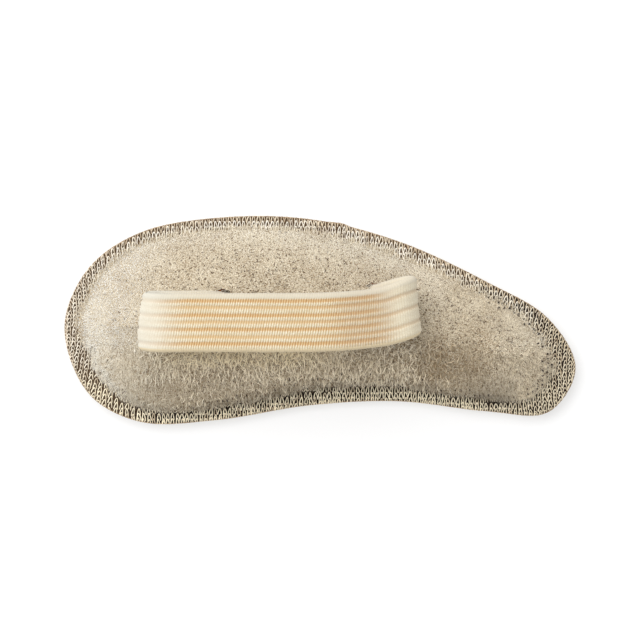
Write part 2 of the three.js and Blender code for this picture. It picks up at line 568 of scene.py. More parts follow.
def makeCoverSkin():
    rimRows = [ringPoints(share * spokes["rim"], rimTop) for share in padShape["rimRings"]]
    height = spokes["crown"] * coverShape["startHeight"]
    rows = rimRows + domeSkin(rimTop, spokes["rim"], height)
    skin = skinMesh("coverSkin", rows)
    count = padShape["spokes"]
    fromEdge = np.full(len(skin.data.vertices), coverShape["ridgeInset"] * mm)
    inward = np.full(len(skin.data.vertices), float(padShape["domeRings"]))   # rings in from the dome's foot
    for r, row in enumerate(rows[:-1]):
        fromEdge[r * count:(r + 1) * count] = np.linalg.norm(row[:, :2] - spokes["edge"], axis=1)
        inward[r * count:(r + 1) * count] = r - len(rimRows)
    setValues(skin, "fromEdge", fromEdge)
    points = pointsOf(skin)
    points = inflate(skin, 1 - fadeIn(*coverShape["heldRings"], inward))
    tallest = points[:, 2].max()
    points[:, 2] = rimTop + (points[:, 2] - rimTop) * (coverHigh.z - rimTop) / (tallest - rimTop)
    onDome = fadeIn(*coverShape["lumpRings"], inward)
    for i, p in enumerate(points):
        lump = noise.noise(Vector(p) / (padShape["lumpSize"] * mm))
        p[2] += lump * padShape["lump"] * mm * onDome[i]
    movePoints(skin, points)
    finer = skin.modifiers.new("finer", "SUBSURF")
    finer.levels = finer.render_levels = 1
    return makePlain(skin)


coverSkin = makeCoverSkin()
print("cover skin", len(coverSkin.data.polygons), "faces")


# Elastic: one ribbed band along its route, with the fine wraps round each rib

elasticShape = {
    "ribEdges": [-4.8, -3.4, -2.35, -1.1, 0.09, 1.13, 2.51, 3.45, 4.8],   # mm from its middle, front to back
    "width": 9.6, "thickness": 1.3, "pointsPerRib": 4, "routeSteps": 260,
    "grooveDepth": 0.2, "grooveBelow": 0.9, "flatten": 0.8, "thinEdge": 0.55, "edgeCrown": 0.8,
    "wrapPitch": 0.41, "wrapDepth": 0.03, "stepsPerWrap": 5, "wrapSlant": -0.2,
    "route": [   # x, y, z of the band's middle in mm, and how far its width is swung, in degrees
        (-8.5, -0.3, 9.6, 0), (-12.5, -0.3, 9.7, 0), (-15.4, -0.2, 11.6, 0), (-18.0, 0.0, 13.5, 0),
        (-23.0, 0.0, 13.4, 0), (-26.9, 0.0, 13.6, -3), (-28.95, -0.2, 15.5, -6), (-26.7, -0.42, 17.6, -3),
        (-19.6, -0.42, 18.6, 0), (-8.0, -0.42, 19.2, 0), (3.0, -0.24, 19.1, 2), (10.6, 0.66, 18.3, 6),
        (14.2, 1.8, 17.2, 5.5), (15.45, 2.4, 15.4, 5), (14.5, 2.4, 13.6, 6.5), (13.0, 2.05, 12.9, 8),
        (11.5, 1.65, 12.5, 7), (9.9, 1.15, 11.2, 4), (6.4, 0.5, 9.4, 0), (2.0, 0.4, 9.5, 0)],
    "leftPale": (-29.5, -20.5), "rightPale": (7.8, 13.0),   # x where the ribs flatten and pale at each end
    "leftFold": (-29, -25), "cornerFrom": 0.15, "cornerTo": 0.5,   # its corners are shares of the width
    "cornerTuck": 0.3, "frontTuck": 0.4,                    # how far the left fold's corners are drawn in
    "wander": 0.1, "wanderSize": 4.0,                       # how unevenly the ribs run
}


def elasticFrames(u):
    route = np.array(elasticShape["route"], float)
    way = lambda at: throughPoints(route[:, :3] * mm, at)
    line = way(u)
    ahead = way(u + 1e-4) - way(u - 1e-4)
    ahead[0] = line[1] - line[0]
    ahead[-1] = line[-1] - line[-2]
    ahead /= np.linalg.norm(ahead, axis=1, keepdims=True)
    swing = np.radians(throughPoints(np.column_stack([route[:, 3], 0 * route[:, 3]]), u)[:, 0])
    across = np.column_stack([-np.sin(swing), np.cos(swing), 0 * swing])
    across -= ahead * np.sum(across * ahead, axis=1, keepdims=True)
    across /= np.linalg.norm(across, axis=1, keepdims=True)
    return line, across, np.cross(ahead, across)


def elasticSection():
    # closed outline of the band: ribs on both faces and round edges, with what each point is part of
    shape = elasticShape
    ribs = len(shape["ribEdges"]) - 1
    steps = ribs * shape["pointsPerRib"]
    points, crowns, grooves = [], [], []
    for face in (1, -1):
        for i in range(1, steps):
            phase = i / shape["pointsPerRib"]
            crown = 1 - abs(2 * (phase % 1) - 1) ** 2 if phase % 1 else 0.0
            number = round(phase) if crown < shape["grooveBelow"] else 0
            edge = min(1.0, min(i, steps - i) / shape["pointsPerRib"] * 2)
            height = shape["thickness"] / 2 - shape["grooveDepth"] * (1 - crown)
            height *= shape["thinEdge"] + (1 - shape["thinEdge"]) * edge
            off = np.interp(phase, range(ribs + 1), shape["ribEdges"])
            points.append((face * off * mm, face * height * mm, 0))
            crowns.append(crown)
            grooves.append(float(number % 2))
        points.append((face * shape["width"] / 2 * mm, 0, 0))
        crowns.append(shape["edgeCrown"])
        grooves.append(0.0)
    count = len(points)
    section = addPiece("elasticSection", points, edges=[(i, (i + 1) % count) for i in range(count)])
    setValues(section, "crown", crowns)
    setValues(section, "groove", grooves)
    setValues(section, "face", np.sign([p[1] for p in points]))
    setValues(section, "offMiddle", [p[0] for p in points])
    return section


def makeElasticTree():
    tree, given = newShapeTree(
        "ribbedElastic", "section", "step wrapPitch wrapDepth wrapSlant flatten cornerFrom cornerTo "
        "backTuck frontTuck wander wanderSize")
    line = put(tree, "GeometryNodeMeshToCurve", mesh=given.geometry)
    even = put(tree, "GeometryNodeResampleCurve", {"mode": "LENGTH"}, curve=line, length=given.step)
    turned = put(tree, "GeometryNodeSetCurveNormal", {"mode": "FREE"}, curve=even,
                 normal=namedVector(tree, "acrossBand"))
    marked = keep(turned, "run", out(tree.nodes.new("GeometryNodeSplineParameter"), "Length"))
    section = put(tree, "GeometryNodeMeshToCurve", mesh=shapeOf(given.section))
    swept = put(tree, "GeometryNodeCurveToMesh", curve=marked, profileCurve=section, fillCaps=True)
    off, crown, odd = [named(tree, name) for name in ("offMiddle", "crown", "groove")]
    wave = maths("SINE", (named(tree, "run") + off * given.wrapSlant) / given.wrapPitch * fullTurn)
    ended = named(tree, "leftEnd") * (1.0 - odd) + named(tree, "rightEnd") * odd   # where grooves level out
    rise = wave * crown * given.wrapDepth + (1.0 - crown) * ended * given.flatten
    ribbed = moved(swept, offset=scaled(namedVector(tree, "upBand"), rise * named(tree, "face")))
    tuck = fade(off, given.cornerFrom, given.cornerTo, 0.0, given.backTuck)
    tuck = tuck + fade(off * -1.0, given.cornerFrom, given.cornerTo, 0.0, given.frontTuck)
    uneven = noiseAt(put(tree, "GeometryNodeInputPosition"), given.wanderSize, 1.0) - 0.5
    shift = joined(tuck * named(tree, "leftFold"), uneven * (given.wander * 2.0))
    return endTree(moved(ribbed, offset=shift), given.material, True)


elasticLook = {
    "thread": clothTone((217, 209, 187), (202, 189, 161), 0.2, 5.0, 0.5),
    "between": tint(180, 160, 121), "strong": tint(180, 138, 89), "thin": tint(192, 156, 110),
    # bend: painted shade where the band curves down before its right fold
    "betweenTan": tint(206, 180, 137), "bend": tint(165, 139, 112), "topRib": tint(190, 183, 167),
    "leftEnd": tint(194, 191, 181), "rightEnd": tint(206, 196, 175), "selvedge": tint(216, 198, 162),
    "leftShare": 0.6, "rightShare": 0.35,        # how much of each end's colour shows
    "leftWear": 0.95, "rightWear": 0.7,          # how far the wraps fade at each end
    "oddLeft": 0.65, "evenLeft": 0.9,            # how far the two kinds of groove fade at the left end
    "evenTan": 0.85, "evenRight": 0.1,
    "gapShare": 0.9, "ragged": 0.24, "stray": 0.5, "straySize": 0.5, "threadBump": 0.3, "bump": 0.04,
}
elasticAreas = {   # x in mm, off: mm from the band's middle
    "topRib": [("off", 3.7, 4.1, 0, 0.75)], "selvedge": [("off", -4.15, -4.4, 0, 0.9)],
    "evenBand": [("x", 10, 14.5, 1, 0.5)],
    "alike": [("x", -6, 5, 0, 0.9)],                          # towards the right both kinds are strong
    "bend": [("x", 0, 6, 0, 0.35), ("x", 13.5, 10.5)],        # painted shade: duller where the band curves down before the right fold
    "gap": [("bead", 0.5, 0)], "stroke": [("bead", 0.15, 0.85, 0, 0.8)],
    "low": [("height", 1.02, 0.43)],                          # tan shows further up between the wraps
}


def makeElasticMaterial():
    material, tree, shader, place = newMaterial("ribbedElasticCloth", 0.8, 0.1)
    look = elasticLook
    leftEnd, rightEnd, odd = [valueOn(tree, name) for name in ("leftEnd", "rightEnd", "groove")]
    offMiddle = valueOn(tree, "offMiddle")
    run = valueOn(tree, "run") + offMiddle * elasticShape["wrapSlant"]
    turns = run / (elasticShape["wrapPitch"] * mm)
    turns = turns + noiseAt(place, look["straySize"] * mm, 2.0) * look["stray"]
    bead = maths("COSINE", turns * fullTurn) * 0.5 + 0.5
    height = bead * look["ragged"] + (valueOn(tree, "crown") - look["ragged"] / 2)
    area = areasOf({**spotOf(place), "off": offMiddle / mm, "bead": bead, "height": height}, elasticAreas)
    worn = highest(leftEnd * look["leftWear"], rightEnd * look["rightWear"])
    gap = area["gap"] * (1.0 - highest(worn, area["topRib"]))
    thread, threadHeight = useYarnTone(place, look["thread"])
    # darker between the wraps and paler on them: partly the thread's own tone, partly painted shade and
    # highlight of the wraps' small relief
    rib = blendColours(gap * look["gapShare"], thread, look["between"])
    oddShare = odd * (1.0 - rightEnd) * (1.0 - leftEnd * look["oddLeft"])
    evenShare = (1.0 - odd) * (1.0 - leftEnd * look["evenLeft"]) * area["evenBand"]
    evenShare = evenShare * (rightEnd * look["evenRight"] + look["evenTan"])
    tan = blendColours(highest(odd, area["alike"]), look["thin"], look["strong"])
    tan = blendColours(area["stroke"] * (1.0 - worn), tan, look["betweenTan"])
    ribbed = blendColours(area["low"] * (oddShare + evenShare), rib, tan)
    feed(shader["Base Color"], layered(ribbed, {
        "bend": area["bend"], "topRib": area["topRib"], "leftEnd": leftEnd * look["leftShare"],
        "rightEnd": rightEnd * look["rightShare"], "selvedge": area["selvedge"]}, look))
    addBump(shader, threadHeight * look["threadBump"] - gap, look["bump"])
    return material


def makeElastic():
    shape = elasticShape
    line, across, up = elasticFrames(np.linspace(0, 1, shape["routeSteps"]))
    path = addLine("elasticLoop", line)
    setValues(path, "acrossBand", across)
    setValues(path, "upBand", up)
    x = line[:, 0] / mm
    setValues(path, "leftEnd", 1 - fadeIn(*shape["leftPale"], x))
    setValues(path, "rightEnd", fadeIn(*shape["rightPale"], x))
    setValues(path, "leftFold", 1 - fadeIn(*shape["leftFold"], x))
    section = elasticSection()
    pitch, width = shape["wrapPitch"] * mm, shape["width"] * mm
    loop = runTree(
        path, makeElasticTree(), section=section, step=pitch / shape["stepsPerWrap"], wrapPitch=pitch,
        wrapDepth=shape["wrapDepth"] * mm, wrapSlant=shape["wrapSlant"],
        flatten=shape["grooveDepth"] * mm * shape["flatten"], cornerFrom=width * shape["cornerFrom"],
        cornerTo=width * shape["cornerTo"], backTuck=shape["cornerTuck"] * mm,
        frontTuck=shape["frontTuck"] * mm, wander=shape["wander"] * mm,
        wanderSize=shape["wanderSize"] * mm, material=makeElasticMaterial())
    dropPiece(section)
    return loop


elasticLoop = makeElastic()
print("elastic", len(elasticLoop.data.polygons), "faces")


# Floor, light and backdrop

studio = {
    "keyPlace": (-0.44, 0.42, 0.72), "keySize": 1.1, "keyPower": 10.9, "worldLight": 0.7,
    "floorSize": 6.0, "floorDrop": 0.05, "floorTone": 0.36,
    "floorGlow": 0.6,   # the floor glows, so that shadows on it stay faint
}


def makeFloor():
    half = studio["floorSize"] / 2
    corners = [(-half, -half, 0), (half, -half, 0), (half, half, 0), (-half, half, 0)]
    floor = addPiece("floor", corners, [(0, 1, 2, 3)])
    floor.location.z = -studio["floorDrop"] * mm
    material = bpy.data.materials.new("whitePaper")
    material.use_nodes = True
    shader = material.node_tree.nodes["Principled BSDF"].inputs
    shader["Base Color"].default_value = (studio["floorTone"],) * 3 + (1,)
    shader["Roughness"].default_value = 0.9
    shader["Specular IOR Level"].default_value = 0.1
    shader["Emission Color"].default_value = (1, 1, 1, 1)
    shader["Emission Strength"].default_value = studio["floorGlow"]
    floor.data.materials.append(material)


def makeLights():
    scene = bpy.context.scene
    scene.view_settings.view_transform = "Standard"
    lamp = bpy.data.lights.new("key", "AREA")
    lamp.shape = "DISK"
    lamp.size = studio["keySize"]
    lamp.energy = studio["keyPower"]
    key = bpy.data.objects.new("key", lamp)
    key.location = studio["keyPlace"]
    key.rotation_euler = (-Vector(studio["keyPlace"])).to_track_quat("-Z", "Y").to_euler()
    scene.collection.objects.link(key)
    world = bpy.data.worlds.new("studio")
    scene.world = world
    world.use_nodes = True
    backdrop = world.node_tree.nodes["Background"].inputs
    seen = out(world.node_tree.nodes.new("ShaderNodeLightPath"), "Is Camera Ray")
    # the camera sees it as full white
    feed(backdrop["Strength"], seen * (1 - studio["worldLight"]) + studio["worldLight"])
    backdrop["Color"].default_value = (1, 1, 1, 1)


makeFloor()
makeLights()
print("studio set")


# Where the nap is: all over the dome, fading out over the pressed rim

napShape = {
    "fade": 2.0, "ragged": 0.9, "raggedSize": 1.6, "speckSize": 0.38,   # mm of its fade, how uneven it is
    "bareAt": [-42, -36, -20, 20, 32, 40],
    "bareRim": [1.3, 1.2, 1.3, 1.5, 2.0, 2.7],   # mm of bare rim at those places along the pad
    "frontBare": 1.1, "front": (-2, -5),         # more of it at the front
    "leftBare": 0.6, "left": (-28, -34),         # and most at the front's left
}


def markNap():
    points = pointsOf(coverSkin)
    fromEdge = valuesOf(coverSkin, "fromEdge")
    x, y = points[:, 0] / mm, points[:, 1] / mm
    bare = np.interp(x, napShape["bareAt"], napShape["bareRim"])
    atLeft = napShape["leftBare"] * fadeIn(*napShape["left"], x)
    bare += (napShape["frontBare"] + atLeft) * fadeIn(*napShape["front"], y)
    wander = [noise.noise(Vector((p[0], p[1], 0)) / (napShape["raggedSize"] * mm)) for p in points]
    bare += np.array(wander) * napShape["ragged"]
    nap = fadeIn(bare - napShape["fade"] / 2, bare + napShape["fade"], fromEdge / mm)
    setValues(coverSkin, "nap", nap)
    setValues(coverSkin, "pastRim", fromEdge / mm - bare)
    setValues(coverSkin, "knitGuide", np.column_stack([nap, fromEdge, 0 * nap]))


markNap()


# Cover shell: the skin with its wall, cut by the elastic's two slits

slitShape = {"widthRoom": 0.4, "thickRoom": 0.14, "taper": 0.93, "steps": 40,
             "left": (0.0, 0.232), "right": (0.8, 1.0)}   # shares of the route


def slitCutter(share):
    line, across, up = elasticFrames(np.linspace(*share, slitShape["steps"]))
    wide = (elasticShape["width"] / 2 + slitShape["widthRoom"]) * mm
    thick = (elasticShape["thickness"] / 2 + slitShape["thickRoom"]) * mm
    flat = wide * slitShape["taper"]
    corners = [(wide, 0), (flat, thick), (-flat, thick), (-wide, 0), (-flat, -thick), (flat, -thick)]
    rings = np.stack([line + across * a + up * b for a, b in corners], 1)
    return addPiece("slitCutter", rings.reshape(-1, 3), tubeFaces(len(line), len(corners)))


coverLook = {
    "nap": clothTone((220, 209, 186), (146, 126, 98), 0.18, 5.0, 0.3),
    "bare": clothTone((50, 36, 20), (20, 13, 6), 0.3, 4.0, 0.4),
    "edge": clothTone((176, 148, 112), (118, 90, 64), 0.3, 3.0, 0.5),
    "pit": tint(92, 72, 48), "worn": tint(112, 90, 66), "slit": tint(160, 98, 50),
    "matting": 1.6, "bump": 0.08,
}
coverAreas = {   # places and inset in mm
    "pits": [("specks", 0.39, 0.32), ("x", -34, -20, 0.1, 0.9), ("x", 20, 32, 1, 0.5)],   # few at the ends
    "wornBack": [("y", 2, 10, 0, 0.62)], "wornLeft": [("x", -26, -38, 0, 0.5)],
    "napped": [("matted", 0.3, 0.6)],
    "slit": [("offX", 26, 24), ("offY", 9, 8), ("z", 5, 6)],
    "cutEdge": [("inset", 0.2, 0.06)],
}


def makeCoverMaterial():
    material, tree, shader, place = newMaterial("brushedKnit", 0.95, 0.1)
    specks = noiseAt(place, napShape["speckSize"] * mm, 1.0)
    matted = specks * coverLook["matting"] + (valueOn(tree, "nap") - coverLook["matting"] / 2)
    spot = {**spotOf(place), "specks": specks, "matted": matted, "inset": valueOn(tree, "fromEdge") / mm}
    area = areasOf(spot, coverAreas)
    nap, height = useYarnTone(place, coverLook["nap"])
    nap = blendColours(area["pits"], nap, coverLook["pit"])
    bare = useYarnTone(place, coverLook["bare"])[0]
    bare = blendColours(highest(area["wornBack"], area["wornLeft"]), bare, coverLook["worn"])
    edge = useYarnTone(place, coverLook["edge"])[0]
    edge = blendColours(area["slit"], edge, coverLook["slit"])
    feed(shader["Base Color"], blendColours(area["cutEdge"], blendColours(area["napped"], bare, nap), edge))
    addBump(shader, height, coverLook["bump"])
    return material


def makeCover():
    cover = addPiece("paddedCover", pointsOf(coverSkin), facesOf(coverSkin))
    for name in ("fromEdge", "nap"):
        setValues(cover, name, valuesOf(coverSkin, name))
    wall = cover.modifiers.new("wall", "SOLIDIFY")
    wall.thickness = padShape["wall"] * mm
    wall.offset = -1
    cutters = [slitCutter(slitShape[side]) for side in ("left", "right")]
    for cutter in cutters:
        cut = cover.modifiers.new("slit", "BOOLEAN")
        cut.object = cutter
        cut.operation = "DIFFERENCE"
        cut.solver = "EXACT"
    makePlain(cover)
    for cutter in cutters:
        dropPiece(cutter)
    cover.data.materials.append(makeCoverMaterial())
    return cover


paddedCover = makeCover()
print("cover shell", len(paddedCover.data.polygons), "faces")


# Nap fibres

napFibres = {   # density to the square mm, tone from dark to pale, backLength: shorter away from the front
    "under": {"density": 18.5, "length": (0.25, 0.6), "width": 0.08, "lift": 1.2, "frontLift": 0.5,
              "tone": (0.0, 1.0), "backLength": 0.4, "seed": 3},
    "over": {"density": 18.0, "length": (0.4, 1.0), "width": 0.068, "lift": 0.9, "frontLift": 0.25,
             "tone": (0.0, 1.0), "backLength": 0.4, "seed": 8},
    "speck": {"density": 0.75, "length": (0.35, 0.5), "width": 0.24, "lift": 1.4, "frontLift": 1.4,
              "tone": (-1.0, -0.7), "backLength": 1.0, "seed": 21},
    "long": {"density": 9.0, "length": (0.8, 1.5), "width": 0.17, "lift": 0.5, "frontLift": 0.15,
             "tone": (0.35, 1.0), "backLength": 0.4, "seed": 14},
}
napLay = {
    "swirlSize": 2.5, "swirl": 1.5, "stray": (1.0, 1.0, 0.3), "comb": 0.8,   # how the strands lie
    "baldFront": 0.05, "baldSpread": 0.08, "curl": 1.2,
}
growthAreas = {   # places and inset in mm
    "front": [("y", -2, -6)], "grown": [("nap", 0.25, 1)],
    "slope": [("y", -10.8, -8.6, 0.08, 1), ("x", -32, -24), ("x", 26, 14)],   # below the elastic
    "middle": [("inset", 4, 9), ("x", -34, -20, 0.15, 1)],
    "pits": [("nap", 1, 0.9, 0, 5)], "rightTip": [("x", 24, 34)],             # pits left by the pressed rim
    "bald": [("inset", 3, 8, 0.37, 0.42)],
    "smoothLeft": [("x", -20, -32, 0, 0.12)], "smoothRight": [("x", 20, 32, 0, 0.08)],
}


def makeStrand(name, rings, bend):
    # a tapered three-sided strand of length 1 and width 1, bent sideways by so many widths
    points, tips = [], []
    for r in range(rings):
        t = r / rings
        radius = 0.5 * (1 - t * t)
        for side in range(3):
            turn = fullTurn * side / 3
            sideways = radius * math.cos(turn) + bend * math.sin(math.pi * t)
            points.append((sideways, radius * math.sin(turn), t))
            tips.append(t)
    last = 3 * (rings - 1)
    faces = [(2, 1, 0)] + bandFaces(rings, 3) + [(last + s, last + (s + 1) % 3, last + 3) for s in range(3)]
    strand = addPiece(name, points + [(0, 0, 1)], faces)
    setValues(strand, "tip", tips + [1])
    return strand


def makeNapTree():
    tree, given = newShapeTree(
        "napFibres", "strand", "density shortest longest width lift frontLift frontOnly specksOnly "
        "backLength darkest palest", "seed")
    position = put(tree, "GeometryNodeInputPosition")
    spot = {**spotOf(position), "nap": named(tree, "nap"), "inset": named(tree, "fromEdge") / mm}
    area = areasOf(spot, growthAreas)
    front = area["front"]
    placed = highest(front * area["slope"], 1.0 - given.frontOnly)
    specked = highest(area["middle"], area["pits"] * highest(front, area["rightTip"]))
    placed = placed * highest(specked, 1.0 - given.specksOnly)
    spread = putNode(tree, "GeometryNodeDistributePointsOnFaces", mesh=given.geometry, seed=given.seed,
                     density=given.density * area["grown"] * placed)
    limit = area["bald"] + front * napLay["baldFront"] - area["smoothLeft"] - area["smoothRight"]
    limit = limit + randomValue(-napLay["baldSpread"], 0.0, given.seed + 5)
    bald = maths("LESS_THAN", noiseAt(position, napShape["speckSize"] * mm, 1.0), limit)
    points = keep(out(spread, "Points"), "outward", out(spread, "Normal"), "FLOAT_VECTOR")
    tufts = without(keep(points, "bald", bald), maths("GREATER_THAN", named(tree, "bald"), 0.5))
    tufts = keep(tufts, "front", front)
    swirl = vectors("SUBTRACT", noiseAt(position, napLay["swirlSize"] * mm, 1.0, "Color"), (0.5, 0.5, 0.5))
    most = napLay["stray"]
    stray = randomValue(tuple(-s for s in most), most, given.seed + 1)
    combed = vectors("MULTIPLY", stray, (0.0, napLay["comb"], 0.0))
    combed = scaled(vectors("ADD", (0.0, -napLay["comb"], 0.0), combed), front)
    flat = vectors("ADD", vectors("ADD", scaled(swirl, napLay["swirl"]), stray), combed)
    lift = fade(front, 0.0, 1.0, given.lift, given.frontLift)
    aim = vectors("ADD", flat, scaled(namedVector(tree, "outward"), lift))
    turn = put(tree, "FunctionNodeAlignRotationToVector", {"axis": "Z"}, vector=aim)
    roll = randomValue(0.0, fullTurn, given.seed + 4)
    rolled = put(tree, "FunctionNodeAxisAngleToRotation", axis=(0, 0, 1), angle=roll)
    turn = put(tree, "FunctionNodeRotateRotation", {"rotation_space": "LOCAL"}, rotation=turn,
               rotateBy=rolled)
    length = randomValue(given.shortest, given.longest, given.seed + 2)
    length = length * fade(front, 0.0, 1.0, given.backLength, 1.0)
    strands = placedOn(tufts, shapeOf(given.strand), turn, joined(given.width, given.width, length))
    tone = randomValue(given.darkest, given.palest, given.seed + 3)
    return endTree(keep(strands, "strand", tone, domain="INSTANCE"), given.material, False)


napLook = {
    "base": clothTone((255, 253, 245), (249, 243, 227), 0.5, 6.0, 0.4),
    "warm": tint(243, 230, 203), "cool": tint(241, 246, 250), "shaded": tint(206, 196, 174),
    "paintedLightUnderStrap": tint(255, 243, 212), "lit": tint(255, 249, 234), "besideLoopShade": tint(210, 178, 122),
    "dark": tint(128, 106, 74), "speck": tint(74, 55, 38), "gap": tint(42, 27, 10),
    "root": tint(176, 156, 124), "creaseShade": tint(102, 91, 74),
    "frontWarm": 0.8, "leftLessWarm": 0.6, "leftCool": 0.8, "frontLessCool": 0.65,
    "darkStrands": 0.2, "frontDark": 0.42,                             # more dark strands on the front slope
    "litLessDark": 0.7, "paintedLightUnderStrapLessDark": 0.65, "leftLessDark": 0.7,
    "darkFade": 0.6, "darkShare": 0.9,
}
napAreas = {   # places and inset in mm; strand: a strand's tone; tip: 0 at a strand's root, 1 at its end
    "rightWarm": [("x", 12, 22, 0, 0.75), ("x", 26, 36, 1, 0.467)], "innerWarm": [("inset", 2.5, 8, 0, 0.3)],
    "leftCalm": [("x", -22, -34)],
    "shaded": [("x", -20, -28, 0, 0.6), ("x", -36, -31, 0.2, 1)],
    # painted light: paler nap with fewer dark strands just below the strap, where its shadow falls
    "paintedLightUnderStrap": [("y", -9, -6, 0, 0.9), ("x", 6, -6), ("x", -30, -20)],
    # painted shade: browner nap and more dark strands right of the loop and below it, where its shadow falls
    # and the dome turns from the light
    "besideLoopShade": [("x", 14, 20, 0, 0.42), ("x", 31, 22), ("y", 1, -3, 0.1, 1), ("y", -12, -8)],
    "besideLoopShadeLow": [("y", 4, 0)],                                        # the painted shade's browner colour, only right of the loop and lower down
    "lit": [("x", 14, 16, 0, 0.9), ("x", 23, 18), ("y", -2.5, 0.5)],   # pale beside the loop's right fold
    "rightLessDark": [("x", 25, 33, 1, 0.45)],
    "speck": [("strand", -0.3, -0.6)], "gap": [("strand", -1.2, -1.5)], "root": [("tip", 0.4, 0, 0, 0.35)],
    # painted shade: darker nap in the crease along the dome's foot, most at the front and front right
    "creaseShade": [("inset", 4.6, 3.1, 0, 0.28), ("x", -32, -14, 0.2, 1)],
    "rightCreaseShade": [("x", 22, 28, 0, 0.4), ("x", 34, 31), ("y", -8, -12)],
}


def makeNapMaterial():
    material, tree, shader, place = newMaterial("napFibre", 0.9, 0.2)
    look = napLook
    front, strand = valueOn(tree, "front"), valueOn(tree, "strand")
    area = areasOf({**spotOf(place), "strand": strand, "tip": valueOn(tree, "tip"),
                    "inset": valueOn(tree, "fromEdge") / mm}, napAreas)
    calm, lit = area["leftCalm"], area["lit"]
    # warmer on the front slope and the right part, which turn from the light: painted shade colour; warmer
    # inwards: the cloth's own tone; cooler at the left end, which faces the light: painted light colour
    warm = front * (look["frontWarm"] - calm * look["leftLessWarm"])
    warm = highest(highest(warm, area["rightWarm"]), area["innerWarm"])
    # painted light under the strap's shadow
    paintedLightUnderStrap = front * area["paintedLightUnderStrap"]
    # more dark strands right of the loop: painted shade
    most = front * look["frontDark"] + look["darkStrands"] + area["besideLoopShade"]
    most = most * (1.0 - lit * look["litLessDark"]) * (1.0 - paintedLightUnderStrap * look["paintedLightUnderStrapLessDark"])
    most = most * (1.0 - calm * look["leftLessDark"]) * area["rightLessDark"]
    feed(shader["Base Color"], layered(useYarnTone(place, look["base"])[0], {
        "warm": warm, "cool": calm * (look["leftCool"] - front * look["frontLessCool"]),
        "shaded": front * area["shaded"], "paintedLightUnderStrap": paintedLightUnderStrap, "lit": lit,
        "besideLoopShade": area["besideLoopShade"] * area["besideLoopShadeLow"],
        "dark": fade(strand, most, most * look["darkFade"], 0.0, look["darkShare"]),
        "speck": area["speck"], "gap": area["gap"], "root": area["root"],
        "creaseShade": front * (area["creaseShade"] + area["rightCreaseShade"])}, look))
    return material


def growNap(key, strand, tree, material):
    kind = napFibres[key]
    patch = bpy.data.objects.new(key + "Nap", coverSkin.data.copy())
    bpy.context.scene.collection.objects.link(patch)
    shortest, longest = [length * mm for length in kind["length"]]
    darkest, palest = kind["tone"]
    nap = runTree(
        patch, tree, strand=strand, density=kind["density"] / mm ** 2, shortest=shortest, longest=longest,
        width=kind["width"] * mm, lift=kind["lift"], frontLift=kind["frontLift"],
        frontOnly=float(key == "long"), specksOnly=float(key == "speck"), backLength=kind["backLength"],
        darkest=darkest, palest=palest, seed=kind["seed"], material=material)
    print(nap.name, len(nap.data.polygons), "faces")
    return nap


napTree, napMaterial = makeNapTree(), makeNapMaterial()
straight, curled = makeStrand("straightStrand", 1, 0), makeStrand("curledStrand", 3, napLay["curl"])
underNap, overNap, speckNap, longNap = [
    growNap(key, curled if key == "long" else straight, napTree, napMaterial) for key in napFibres]
dropPiece(straight)
dropPiece(curled)


# Rim knit: loops of yarn in upright columns, where the nap has been pressed away

knitShape = {
    "wale": 0.79, "course": 0.89, "tipWale": 0.89, "tipCourse": 0.64,   # drawn outwards at the two tips
    "drawn": (33, 40), "yarn": 0.083, "yarnSides": 5, "seed": 5,
    "bow": 0.011, "bowOver": (28, 42), "bowMiddle": (1.0, -9.0),        # columns bow away from the tips
    "loop": [(-0.28, -0.66, 0.02), (-0.26, -0.30, 0.09), (-0.19, 0.04, 0.13), (-0.09, 0.36, 0.12),
             (0.0, 0.46, 0.09), (0.09, 0.36, 0.12), (0.19, 0.04, 0.13), (0.26, -0.30, 0.09),
             (0.28, -0.66, 0.02)],   # mm, apex up
    "jitter": 0.08, "sway": 0.12, "smallest": (0.8, 0.82, 0.8), "largest": (1.2, 1.25, 1.2),
    "napFrom": 0.72, "napFlatten": 0.5,   # how soon the nap hides a loop, and how far it presses it flat
    "rayFrom": 50.0, "rayLength": 200.0, "inside": 0.999,
    "sink": 0.8, "lap": 0.06,             # loops that pass the edge bend down over it
}


